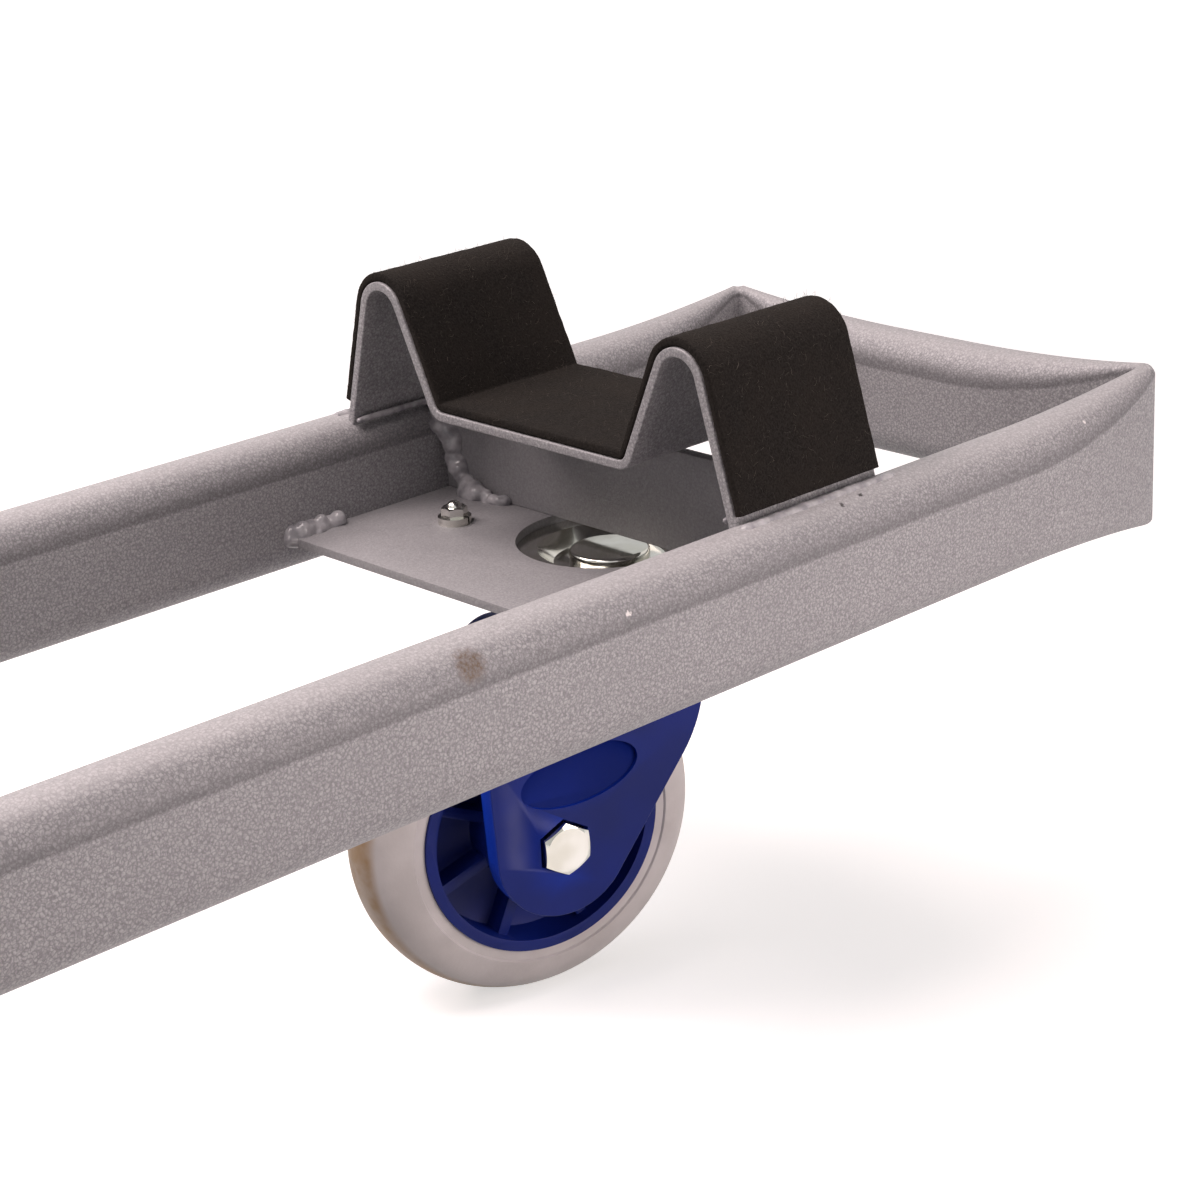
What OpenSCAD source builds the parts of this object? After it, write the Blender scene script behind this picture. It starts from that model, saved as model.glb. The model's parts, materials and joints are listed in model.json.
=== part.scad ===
// Door trolley. A loop of flat-sided oval tube carries a felt-lined W saddle at each end.
// It rolls on a swivel caster under each saddle and two plain wheels on an axle at mid-length.
// X runs along the rails, Y across them, and Z = 0 is the floor.

/* [Frame] */
// Length over the two end tubes
frame_l = 1200; // [1000:10:1500]
// Width over the two rails
frame_w = 230; // [210:1:280]
// Thickness of the oval tube
tube_w = 25; // [20:0.5:30]
// Height of the oval tube
tube_h = 50; // [44:0.5:60]
// Wall of the oval tube
tube_wall = 1.6; // [1.2:0.1:2.3]
// Stretch over which the tube is crushed towards a corner
crush_l = 84; // [50:1:88]
// Half of the thickness left at a crushed corner
crush_half = 2.4; // [2.3:0.1:4]

/* [Caster plate and cross bar] */
// Distance from the end of the frame to the kingpin
kingpin_inset = 187; // [150:1:260]
// Length of the caster plate along the rails
plate_l = 143; // [120:1:170]
// Thickness of the caster plate
plate_t = 3.2; // [2:0.1:5]
// Height of the top of that plate over the bottom of the rails
plate_up = 15.1; // [14:0.1:20]
// Diameter of the hole over the kingpin
plate_hole_d = 66; // [50:1:78]
// Bolt spacing along the rails
bolt_x = 47.6; // [40:0.1:60]
// Bolt spacing across the rails
bolt_y = 110.8; // [100:0.1:124]
// Diameter of a mounting bolt
bolt_d = 5; // [4:0.5:6]
// Height of the cross bar
bar_h = 37; // [20:0.5:38]
// Thickness of the cross bar
bar_t = 4.5; // [3:0.5:8]
// Distance of the cross bar from the kingpin, towards the end of the frame
bar_off = 5; // [0:0.5:15]

/* [Saddle and felt] */
// Length of the saddle along the rails
saddle_l = 67; // [50:1:120]
// Distance of the middle of the saddle from the kingpin, away from the end of the frame
saddle_back = 2.4; // [0:0.1:12]
// Thickness of the saddle strip
saddle_t = 3.2; // [2.3:0.1:4.5]
// Half width of the saddle floor
floor_half = 48; // [36:0.5:52]
// Height of the middle of the floor strip over the rails
floor_h = 9.1; // [7:0.1:14]
// Distance of a ridge from the middle of the trolley
ridge_y = 76; // [70:0.5:80]
// Height of a ridge over the rails, before its bend is rounded
ridge_h = 69.8; // [50:0.5:90]
// Bend radius at a ridge, on the middle of the strip
ridge_r = 9.6; // [6:0.1:12]
// Bend radius at the floor, on the middle of the strip
floor_r = 5.8; // [5.6:0.1:8]
// Distance of a foot inside the middle of its rail
foot_in = 6.9; // [4:0.1:9]
// Thickness of the felt
felt_t = 3; // [2:0.1:4]
// Height of the lower edge of the felt over the rails
felt_foot = 4; // [3:0.5:20]

/* [Wheels] */
// Diameter of every wheel
wheel_d = 130; // [120:1:150]
// Width of the tyre at its flanks
tyre_w = 37.8; // [30:0.1:40]
// Diameter of the rim that the tyre is bonded to
rim_d = 91; // [84:1:94]
// Wall of the rim
rim_t = 4; // [3:0.5:6]
// Ribs on each face of a wheel
rib_n = 8; // [5:1:12]
// Thickness of a rib
rib_t = 4; // [3:0.5:6]
// Outer diameter of the hub boss
boss_d = 44; // [40:0.5:50]
// Length of the hub boss
boss_l = 44; // [40:0.5:46]
// Bore of a wheel bearing
bearing_bore = 15; // [13:0.5:17]
// Outer diameter of a wheel bearing
bearing_d = 32; // [28:0.5:35]
// Width of a wheel bearing
bearing_w = 9; // [8:0.5:11]

/* [Casters] */
// Distance of the wheel behind the kingpin
trail = 41.7; // [38:0.1:48]
// Direction in which the front wheel trails
front_heading = 165.1; // [0:0.1:360]
// Direction in which the rear wheel trails
rear_heading = 190; // [0:0.1:360]
// Half width over the fork
fork_half = 34.5; // [32:0.5:38]
// Wall of the fork cheeks
cheek_t = 8; // [6:0.5:10]
// Radius of the fork cheeks round the axle
cheek_r = 25.8; // [20:0.1:32]
// Radius where the back of a cheek turns up
cheek_back_r = 50; // [40:1:60]
// Height of the middle of that turn over the axle
cheek_back_up = 52.5; // [46:0.1:56]
// Distance of the back of a cheek behind the kingpin
cheek_back = 16.5; // [12:0.5:20]
// Distance of the nose of a cheek in front of the axle
cheek_nose = 27; // [25.8:0.1:34]
// Radius where the nose of a cheek turns back
nose_r = 30; // [26:1:34]
// Height of the middle of that turn over the axle
nose_up = 27; // [24:0.5:30]
// Height of the top of a cheek over the axle
cheek_top_up = 64.1; // [62:0.1:66]
// Radius at the front of that top
cheek_top_r = 14.8; // [12:0.1:16]
// Distance of the middle of that radius from the kingpin
cheek_top_x = 32.5; // [30:0.1:36]
// Gap between the tyre and the deck of the fork
deck_gap = 9.6; // [8:0.1:20]
// Thickness of the deck
deck_t = 10; // [8:0.5:14]
// Gap from the deck to the top plate
race_gap = 5; // [4.5:0.1:8]
// Length of the top plate along the rails
top_l = 80; // [76:1:100]
// Width of the top plate across the rails
top_w = 134; // [126:1:150]
// Thickness of the top plate
top_t = 3; // [2.5:0.1:4]
// Depth of the dish in the top plate
dish_depth = 5; // [4.6:0.1:7]
// Radius of the dish at its rim
dish_r = 27; // [25:0.5:30]
// Diameter of the kingpin
kingpin_d = 12; // [10:0.5:14]
// Diameter of the kingpin head
kingpin_head_d = 28.6; // [24:0.1:34]
// Height of the kingpin head
kingpin_head_h = 4.5; // [3:0.1:4.6]
// Radius of the ring of balls
ball_ring_r = 32.4; // [31.5:0.1:34]
// Diameter of a ball
ball_d = 5.4; // [4.6:0.1:5.6]
// Balls in a ring
ball_n = 24; // [12:1:30]
// Diameter of the wheel bolt
axle_bolt_d = 10; // [8:0.5:12]
// Size of the wheel bolt head across its flats
axle_hex = 17; // [13:1:19]
// Height of the wheel bolt head
axle_head_h = 7; // [5:0.1:8]
// Depth of the pockets that hold the bolt head and the nut
pocket_depth = 4; // [2:0.5:5]
// Width of the oval recess on a cheek
oval_w = 46; // [30:1:50]
// Height of the oval recess on a cheek
oval_h = 21; // [16:1:26]
// Tilt of that recess, higher at the back
oval_tilt = 6; // [0:1:12]

/* [Mid axle] */
// Diameter of the axle
axle_d = 16; // [15:0.5:20]
// Thickness of an axle bracket
bracket_t = 6; // [4.5:0.1:9]
// Length of an axle bracket where it meets its rail
bracket_l = 120; // [80:1:200]
// Radius of an axle bracket round the axle
bracket_r = 20; // [14:0.5:28]
// Diameter of the tube round the axle
axle_tube_d = 21.7; // [20:0.1:30]
// Diameter of the threaded end of the axle
thread_d = 12; // [10:0.5:14]
// Size of the axle nut across its flats
nut_hex = 19; // [17:1:22]
// Thickness of an axle washer
washer_t = 2.5; // [1.5:0.1:4]

/* [Hidden] */
$fn = 64;

silver = [0.66, 0.62, 0.61];
zinc = [0.80, 0.79, 0.74];
steel = [0.60, 0.61, 0.62];
nylon_blue = [0.16, 0.19, 0.48];
felt_black = [0.12, 0.11, 0.10];
tyre_grey = [0.69, 0.65, 0.63];

// Clearances
run_gap = 0.05;     // radial, a shaft in its bore
fit_gap = 0.1;      // radial, a fixed piece in its hole
bolt_play = 0.6;    // over the diameter, a mounting bolt in a plate
seat_gap = 0.3;     // a turning piece from its neighbour
glue_gap = 0.2;     // felt from its saddle
weld_gap = 0.15;    // a foot or a bracket from the round of its rail
side_in = 0.02;     // a straight side inside the rounds that it joins
cut = 1;            // how far a cutter runs past a face

// Heights, from the floor upwards
wheel_r = wheel_d / 2;
deck_z = wheel_d + deck_gap;
deck_top = deck_z + deck_t;
top_z = deck_top + race_gap;
plate_z = top_z + top_t;
plate_top = plate_z + plate_t;
rail_z = plate_top - plate_up;
rail_top = rail_z + tube_h;
rail_mid = rail_z + tube_h / 2;

// Places
kingpin_x = frame_l / 2 - kingpin_inset;
rail_y = (frame_w - tube_w) / 2;
inside_w = frame_w - 2 * tube_w;
end_x = (frame_l - tube_w) / 2;
cheek_in = fork_half - cheek_t;
dish_floor = plate_z - dish_depth;

// Bent strips: a path with a bend radius at each point, and a side at an offset to its left
bend_steps = 10;
function unit(v) = v / norm(v);
function left_of(v) = [-v[1], v[0]];
function turn(a, b) = atan2(a[0] * b[1] - a[1] * b[0], a[0] * b[0] + a[1] * b[1]);
function spun(v, a) = [v[0] * cos(a) - v[1] * sin(a), v[0] * sin(a) + v[1] * cos(a)];
function bend(p, q, s, r, o) =
    let (a = unit(q - p), b = unit(s - q), t = turn(a, b), way = sign(t))
    let (middle = q - a * r * tan(abs(t) / 2) + left_of(a) * r * way)
    [for (k = [0 : bend_steps]) middle + spun(left_of(a) * (o - r * way), t * k / bend_steps)];
function strip_side(p, r, o) =
    let (n = len(p) - 1)
    [for (i = [0 : n]) each
        i == 0 ? [p[0] + o * left_of(unit(p[1] - p[0]))]
        : i == n ? [p[n] + o * left_of(unit(p[n] - p[n - 1]))]
        : bend(p[i - 1], p[i], p[i + 1], r[i], o)];
function backwards(p) = [for (i = [len(p) - 1 : -1 : 0]) p[i]];
function strip(p, r, low, high) = concat(strip_side(p, r, low), backwards(strip_side(p, r, high)));

// The saddle's path from foot to foot, in Y and Z, and the same path ending at another height
peak_z = rail_top + ridge_h;
leg_slope = (rail_y - foot_in - ridge_y) / ridge_h;
function foot_point(z) = [ridge_y + (peak_z - z) * leg_slope, z];
function mirrored(p) = [-p[0], p[1]];
function saddle_path(z) =
    let (half = [foot_point(z), [ridge_y, peak_z], [floor_half, rail_top + floor_h]])
    concat([for (q = half) mirrored(q)], backwards(half));
saddle_radii = [0, ridge_r, floor_r, floor_r, ridge_r, 0];

// Two circles joined by their outer tangent: the point on circle c, r for the line to d, s
function tangent_point(c, r, d, s, way) =
    let (v = d - c, a = atan2(v[1], v[0]) + way * acos((r - s) / norm(v)))
    c + r * [cos(a), sin(a)];

// Tube: the half thickness b shrinks towards a corner, and the flats grow as the round shrinks
arc_steps = 12;
ring_steps = 7;
function ease(t) = t * t * (3 - 2 * t);
function crushed(t) = crush_half + (tube_w / 2 - crush_half) * ease(t);
function flat_half(b) = (tube_h - tube_w + PI * (tube_w / 2 - b)) / 2;

// One ring of a tube l long between its corners. Near a corner it leans over towards the mitre
function tube_ring(l, j, wall) =
    let (way = j <= ring_steps ? -1 : 1, t = min(j, 2 * ring_steps + 1 - j) / ring_steps)
    let (b = crushed(t), f = flat_half(b), lean = 1 - ease(t))
    [for (half = [1, -1]) for (k = [0 : arc_steps])
        let (y = half * (b - wall) * cos(180 * k / arc_steps))
        [way * (l / 2 - crush_l * t + lean * y), y, half * (f + (b - wall) * sin(180 * k / arc_steps))]];

module x_extrude(l) {
    rotate([90, 0, 90]) linear_extrude(l, center = true) children();
}

module y_turned() {
    rotate([-90, 0, 0]) children();
}

// One side of the loop, between corners l apart, with its outside towards +Y
module loop_side(l) {
    n = 2 * (arc_steps + 1);
    last = 2 * ring_steps + 1;
    m = (last + 1) * n;
    end = last * n;
    points = [for (wall = [0, tube_wall]) for (j = [0 : last]) each tube_ring(l, j, wall)];
    skin = [for (j = [0 : last - 1]) for (k = [0 : n - 1])
        let (next = (k + 1) % n)
        [j * n + k, (j + 1) * n + k, (j + 1) * n + next, j * n + next]];
    rim = [for (k = [0 : n - 1]) [k, (k + 1) % n]];
    faces = concat(
        [for (q = skin) each [[q[0], q[1], q[2]], [q[0], q[2], q[3]]]],
        [for (q = skin) each [[q[2] + m, q[1] + m, q[0] + m], [q[3] + m, q[2] + m, q[0] + m]]],
        [for (e = rim) each [[e[0], e[1], e[0] + m], [e[1], e[1] + m, e[0] + m]]],
        [for (e = rim) let (a = e[0] + end, b = e[1] + end) each [[a, a + m, b], [b, a + m, b + m]]]);
    color(silver) translate([0, 0, rail_mid]) polyhedron(points, faces, convexity = 6);
}

module rail() {
    translate([0, rail_y, 0]) loop_side(2 * end_x);
}

module end_tube() {
    translate([end_x, 0, 0]) rotate(-90) loop_side(2 * rail_y);
}

module at_front() {
    translate([kingpin_x, 0, 0]) children();
}

module at_rear() {
    translate([-kingpin_x, 0, 0]) mirror([1, 0, 0]) children();
}

module at_bolts() {
    for (x = [-1, 1] * bolt_x / 2) for (y = [-1, 1] * bolt_y / 2) translate([x, y, 0]) children();
}

module at_all_bolts() {
    at_front() at_bolts() children();
    at_rear() at_bolts() children();
}

module at_saddle() {
    translate([-saddle_back, 0, 0]) children();
}

module rounded_plate(l, w, t, r) {
    linear_extrude(t) {
        square([l, w - 2 * r], center = true);
        square([l - 2 * r, w], center = true);
        for (x = [-1, 1] * (l / 2 - r)) for (y = [-1, 1] * (w / 2 - r)) translate([x, y]) circle(r);
    }
}

// Frame pieces round the kingpin

module caster_plate() {
    color(silver) difference() {
        translate([0, 0, plate_z + plate_t / 2]) cube([plate_l, inside_w, plate_t], center = true);
        translate([0, 0, plate_z - cut]) cylinder(d = plate_hole_d, h = plate_t + 2 * cut);
        at_bolts() translate([0, 0, plate_z - cut])
            cylinder(d = bolt_d + bolt_play, h = plate_t + 2 * cut);
    }
}

module cross_bar() {
    color(silver) translate([bar_off, 0, plate_top + bar_h / 2])
        cube([bar_t, inside_w, bar_h], center = true);
}

module saddle() {
    path = saddle_path(rail_top - tube_w / 4);
    color(silver) difference() {
        x_extrude(saddle_l) polygon(strip(path, saddle_radii, -saddle_t / 2, saddle_t / 2));
        for (y = [-1, 1] * rail_y) translate([0, y, rail_top - tube_w / 2]) rotate([0, 90, 0])
            cylinder(r = tube_w / 2 + weld_gap, h = saddle_l + 2 * cut, center = true);
    }
}

module felt() {
    low = saddle_t / 2 + glue_gap;
    color(felt_black) x_extrude(saddle_l - 1)
        polygon(strip(saddle_path(rail_top + felt_foot), saddle_radii, low, low + felt_t));
}

// Fasteners

module hex_prism(flats, h) {
    rotate(30) cylinder(r = flats / sqrt(3), h = h, $fn = 6);
}

// Hexagon with its top corners turned off
module hex_head(flats, h) {
    face_r = 0.47 * flats;
    intersection() {
        hex_prism(flats, h);
        cylinder(r1 = face_r + h * tan(60), r2 = face_r, h = h);
    }
}

module drilled(d, depth) {
    difference() {
        children();
        translate([0, 0, -cut]) cylinder(d = d, h = depth + cut);
    }
}

bolt_head_h = 0.65 * bolt_d;
spring_t = 0.54 * bolt_d;
spring_d = 2.44 * bolt_d;
split_w = 0.8;
split_turn = -75;
nut_flats = 1.7 * bolt_d;
nut_h = 0.7 * bolt_d;
dome_r = 0.58 * bolt_d;
bolt_end = plate_top + spring_t + 0.8 * nut_h;

module mount_bolt() {
    color(zinc) {
        translate([0, 0, top_z - bolt_head_h]) hex_prism(nut_flats, bolt_head_h);
        translate([0, 0, top_z - bolt_head_h / 2])
            cylinder(d = bolt_d, h = bolt_end - top_z + bolt_head_h / 2);
    }
}

module spring_washer() {
    color(zinc) translate([0, 0, plate_top]) difference() {
        cylinder(d = spring_d, h = spring_t);
        translate([0, 0, -cut]) cylinder(d = bolt_d + 2 * fit_gap, h = spring_t + 2 * cut);
        rotate(split_turn) translate([bolt_d, 0, 0])
            cube([2 * bolt_d, split_w, spring_t + 4 * cut], center = true);
    }
}

module cap_nut() {
    color(zinc) translate([0, 0, plate_top + spring_t])
        drilled(bolt_d + 2 * fit_gap, bolt_end - plate_top - spring_t + fit_gap) {
            hex_head(nut_flats, nut_h);
            difference() {
                translate([0, 0, nut_h - dome_r / 4]) sphere(dome_r);
                translate([0, 0, -2 * dome_r]) cylinder(r = 2 * dome_r, h = 2 * dome_r + nut_h / 2);
            }
        }
}

// Wheels, turned about the Y axis of their own place

flank_half = tyre_w / 2;
rim_half = flank_half - 0.5;
seat_r = bearing_d / 2 + fit_gap / 2;
shoulder = 3.5;
web_t = 8;
rib_half = 0.7 * rim_half;
crown_base = 0.594 * wheel_r;
crown_power = 2.45;
tyre_in = rim_d / 2 + fit_gap;
lip = 2.4;

function fullness(t) = pow(1 - pow(abs(t), crown_power), 1 / crown_power);
function crown(y) = crown_base + (wheel_r - crown_base) * fullness(y / flank_half);

module hub() {
    color(nylon_blue) difference() {
        union() {
            y_turned() {
                difference() {
                    cylinder(d = rim_d, h = 2 * rim_half, center = true);
                    cylinder(d = rim_d - 2 * rim_t, h = 2 * rim_half + cut, center = true);
                }
                cylinder(d = rim_d - rim_t, h = web_t, center = true);
                cylinder(d = boss_d, h = boss_l, center = true);
            }
            for (k = [0 : rib_n - 1]) rotate([0, 360 * (k + 0.5) / rib_n, 0])
                translate([(rim_d / 2 - rim_t + boss_d / 2) / 2, 0, 0])
                    cube([rim_d / 2 - boss_d / 2 - rim_t / 2, 2 * rib_half, rib_t], center = true);
        }
        y_turned() {
            cylinder(r = bearing_d / 2 - shoulder, h = boss_l + cut, center = true);
            for (s = [0, 1]) mirror([0, 0, s]) translate([0, 0, boss_l / 2 - bearing_w - fit_gap])
                cylinder(r = seat_r, h = bearing_w + cut);
        }
    }
}

module tyre() {
    half = flank_half - 0.3;
    steps = 9;
    lip_r = tyre_in + lip;
    side = [for (k = [1 : 2 * steps - 1]) let (y = half * cos(90 * k / steps)) [max(crown(y), lip_r), y]];
    color(tyre_grey) y_turned() rotate_extrude()
        polygon(concat([[tyre_in, half], [lip_r, half]], side, [[lip_r, -half], [tyre_in, -half]]));
}

module bearings() {
    inner_r = bearing_bore / 2 + run_gap;
    outer_r = bearing_d / 2;
    land = 0.2 * (outer_r - inner_r);
    sunk = 0.5;
    color(steel) y_turned() for (s = [0, 1]) mirror([0, 0, s])
        translate([0, 0, boss_l / 2 - bearing_w]) rotate_extrude() polygon([
            [inner_r, 0], [outer_r, 0], [outer_r, bearing_w], [outer_r - land, bearing_w],
            [outer_r - land, bearing_w - sunk], [inner_r + land, bearing_w - sunk],
            [inner_r + land, bearing_w], [inner_r, bearing_w]]);
}

// Swivel caster, with its kingpin at the origin and its wheel towards +X

dish_slope = 7;
dish_hole_r = dish_r - 1;
dish_floor_r = dish_r - dish_slope;
ball_z = top_z - seat_gap - ball_d / 2;
groove_r = ball_d / 2 + seat_gap;
groove_wall = 1.6;
ring_out = ball_ring_r + groove_r + groove_wall;
ring_gap = 2.2;
pocket_r = dish_r + 0.5;
king_boss_r = 16;
king_boss_h = 7.2;
king_boss_z = deck_z - king_boss_h;
king_washer_t = 1.5;
king_washer_w = 3;
king_nut_h = 5;
king_over = 0.6;
king_nut_z = king_boss_z - seat_gap - king_washer_t - king_nut_h;
bush_t = 2;
bush_r = kingpin_d / 2 + bush_t;
back_web_t = 5;
back_web_z = 1.74 * wheel_r;
skirt_z = 1.72 * wheel_r;
skirt_in = cheek_in - 0.5;
oval_back = 7.3;
oval_up = 25.5;
pocket_play = 1.6;
oval_depth = 1.5;
wheel_nut_h = 10;
wheel_bolt_over = 1;

module top_plate() {
    corner_r = 8;
    hole_r = kingpin_d / 2 + fit_gap;
    slope_t = 0.4 * top_t;
    color(zinc) difference() {
        translate([0, 0, top_z]) rounded_plate(top_l, top_w, top_t, corner_r);
        translate([0, 0, top_z - cut]) cylinder(r = dish_hole_r, h = top_t + 2 * cut);
        at_bolts() translate([0, 0, top_z - cut])
            cylinder(d = bolt_d + bolt_play, h = top_t + 2 * cut);
    }
    color(zinc) rotate_extrude() polygon([
        [hole_r, dish_floor - top_t], [dish_floor_r - slope_t, dish_floor - top_t],
        [dish_hole_r - slope_t, top_z], [dish_hole_r, top_z], [dish_hole_r, plate_z],
        [dish_hole_r - 0.5, plate_z], [dish_floor_r, dish_floor], [hole_r, dish_floor]]);
}

module kingpin() {
    r = kingpin_head_d / 2;
    h = kingpin_head_h;
    round = 1.5;
    color(zinc) {
        translate([0, 0, dish_floor]) rotate_extrude() {
            square([r, h - round]);
            square([r - round, h]);
            translate([r - round, h - round]) circle(round);
        }
        translate([0, 0, king_nut_z - king_over])
            cylinder(d = kingpin_d, h = dish_floor + h / 2 - king_nut_z + king_over);
    }
}

module kingpin_nut() {
    hole_r = kingpin_d / 2 + fit_gap;
    color(zinc) translate([0, 0, king_nut_z]) {
        translate([0, 0, king_nut_h]) difference() {
            cylinder(r = bush_r + king_washer_w, h = king_washer_t);
            translate([0, 0, -cut]) cylinder(r = hole_r, h = king_washer_t + 2 * cut);
        }
        drilled(2 * hole_r, king_nut_h + cut) hex_prism(1.55 * kingpin_d, king_nut_h);
    }
}

module race_balls() {
    color(steel) for (k = [0 : ball_n - 1]) rotate(360 * k / ball_n)
        translate([ball_ring_r, 0, ball_z]) sphere(d = ball_d, $fn = 24);
}

module kingpin_bush() {
    color("darkgoldenrod") translate([0, 0, king_boss_z]) difference() {
        cylinder(r = bush_r, h = dish_floor - top_t - seat_gap - king_boss_z);
        translate([0, 0, -cut]) cylinder(r = kingpin_d / 2 + run_gap, h = deck_top);
    }
}

// Outline of a cheek in X and Z: round at the axle, upright at the nose and then turning back,
// and sloping at the back until it turns up
module cheek_outline() {
    axle = [trail, wheel_r];
    back = [cheek_back_r - cheek_back, wheel_r + cheek_back_up];
    turn = [trail + cheek_nose - nose_r, wheel_r + nose_up];
    peak = [cheek_top_x, wheel_r + cheek_top_up - cheek_top_r];
    axle_r = cheek_r - side_in;
    back_r = cheek_back_r - side_in;
    turn_r = nose_r - side_in;
    peak_r = cheek_top_r - side_in;
    back_x = side_in - cheek_back;
    nose = turn[0] + turn_r;
    top = peak[1] + peak_r;
    translate(axle) circle(cheek_r);
    translate(turn) circle(nose_r);
    translate(peak) circle(cheek_top_r);
    intersection() {
        translate(back) circle(cheek_back_r);
        translate([-2 * cheek_back, wheel_r]) square([2 * cheek_back, cheek_back_up]);
    }
    polygon([
        tangent_point(axle, axle_r, back, back_r, 1), tangent_point(back, back_r, axle, axle_r, -1),
        [back_x, back[1]], [back_x, top], [peak[0], top],
        tangent_point(peak, peak_r, turn, turn_r, 1), tangent_point(turn, turn_r, peak, peak_r, -1),
        [nose, turn[1]], [nose, axle[1]], axle]);
}

module fork() {
    color(nylon_blue) difference() {
        union() {
            for (s = [0, 1]) mirror([0, s, 0]) translate([0, fork_half, 0]) rotate([90, 0, 0])
                linear_extrude(cheek_t) cheek_outline();
            difference() {
                translate([0, 0, skirt_z]) cylinder(r = ring_out, h = top_z - ring_gap - skirt_z);
                translate([0, 0, (deck_z + skirt_z - cut) / 2])
                    cube([2 * ring_out + cut, 2 * skirt_in, deck_z - skirt_z + cut], center = true);
            }
            translate([0, 0, king_boss_z]) cylinder(r = king_boss_r, h = deck_z - king_boss_z + cut);
            translate([-cheek_back, cheek_t / 2 - fork_half, back_web_z])
                cube([back_web_t, 2 * fork_half - cheek_t, deck_z + cut - back_web_z]);
        }
        translate([0, 0, dish_floor - top_t - seat_gap]) cylinder(r = pocket_r, h = deck_t);
        translate([0, 0, king_boss_z - cut]) cylinder(r = bush_r + fit_gap / 2, h = deck_t + king_boss_r);
        rotate_extrude() translate([ball_ring_r, ball_z]) circle(groove_r);
        translate([trail, 0, wheel_r]) y_turned() {
            cylinder(d = axle_bolt_d + 2 * fit_gap, h = 2 * fork_half + cut, center = true);
            for (s = [0, 1]) mirror([0, 0, s]) translate([0, 0, fork_half - pocket_depth])
                hex_prism(axle_hex + pocket_play, pocket_depth + cut);
        }
        for (s = [-1, 1]) translate([trail - oval_back, s * fork_half, wheel_r + oval_up])
            rotate([0, oval_tilt, 0]) scale([oval_w / oval_h, 1, 1]) y_turned()
                cylinder(d = oval_h, h = 2 * oval_depth, center = true);
    }
}

module wheel_bolt() {
    seat = fork_half - pocket_depth;
    end = seat + wheel_nut_h + wheel_bolt_over;
    color(zinc) translate([trail, 0, wheel_r]) y_turned() {
        translate([0, 0, seat]) hex_head(axle_hex, axle_head_h);
        translate([0, 0, -end]) cylinder(d = axle_bolt_d, h = end + seat + axle_head_h / 2);
    }
}

module wheel_nut() {
    color(zinc) translate([trail, pocket_depth - fork_half, wheel_r]) rotate([90, 0, 0])
        drilled(axle_bolt_d + 2 * fit_gap, wheel_nut_h + cut) hex_head(axle_hex, wheel_nut_h);
}

module wheel_sleeve() {
    color(steel) translate([trail, 0, wheel_r]) y_turned() difference() {
        cylinder(d = bearing_bore, h = 2 * (cheek_in - fit_gap), center = true);
        cylinder(d = axle_bolt_d + 2 * fit_gap, h = 2 * fork_half, center = true);
    }
}

module at_caster_wheel() {
    translate([trail, 0, wheel_r]) children();
}

module front_caster() {
    at_front() rotate(front_heading) children();
}

module rear_caster() {
    translate([-kingpin_x, 0, 0]) rotate(rear_heading) children();
}

// Mid axle, with its wheels outside the rails

bracket_out = rail_y + bracket_t / 2;
washer_in = bracket_out + fit_gap;
hub_in = washer_in + washer_t + seat_gap;
mid_wheel_y = hub_in + boss_l / 2;
hub_out = hub_in + boss_l;
washer_out = hub_out + seat_gap;
nut_in = washer_out + washer_t + fit_gap;
mid_nut_h = 10;
thread_over = 2;
washer_in_d = 28;
washer_out_d = 26;
bracket_edge = 12;

module axle_bracket() {
    axle = [0, wheel_r];
    foot_z = rail_z - weld_gap;
    right = [bracket_l / 2, foot_z - bracket_edge];
    low = tangent_point(axle, bracket_r - side_in, right, 0, -1);
    color(silver) difference() {
        translate([0, rail_y + bracket_t / 2, 0]) rotate([90, 0, 0]) linear_extrude(bracket_t) {
            translate(axle) circle(bracket_r);
            polygon([
                axle, low, right, [right[0], foot_z],
                [-right[0], foot_z], mirrored(right), mirrored(low)]);
        }
        translate([0, rail_y, wheel_r]) y_turned()
            cylinder(d = axle_d + 2 * fit_gap, h = bracket_t + cut, center = true);
    }
}

module mid_axle() {
    color(steel) translate([0, 0, wheel_r]) y_turned() {
        cylinder(d = axle_d, h = 2 * (washer_in + washer_t), center = true);
        cylinder(d = bearing_bore, h = 2 * washer_out, center = true);
        cylinder(d = thread_d, h = 2 * (nut_in + mid_nut_h + thread_over), center = true);
    }
}

module axle_tube() {
    color(silver) translate([0, 0, wheel_r]) y_turned() difference() {
        cylinder(d = axle_tube_d, h = 2 * (rail_y - bracket_t / 2), center = true);
        cylinder(d = axle_d + 2 * fit_gap, h = frame_w, center = true);
    }
}

module on_both_ends(y) {
    for (s = [0, 1]) mirror([0, s, 0]) translate([0, y, wheel_r]) y_turned() children();
}

module axle_washers() {
    color(zinc) {
        on_both_ends(washer_in)
            drilled(axle_d + 2 * fit_gap, washer_t + cut) cylinder(d = washer_in_d, h = washer_t);
        on_both_ends(washer_out)
            drilled(thread_d + 2 * fit_gap, washer_t + cut) cylinder(d = washer_out_d, h = washer_t);
    }
}

module axle_nuts() {
    color(zinc) on_both_ends(nut_in)
        drilled(thread_d + 2 * fit_gap, mid_nut_h + cut) hex_head(nut_hex, mid_nut_h);
}

module at_mid_wheel() {
    translate([0, mid_wheel_y, wheel_r]) children();
}

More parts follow.
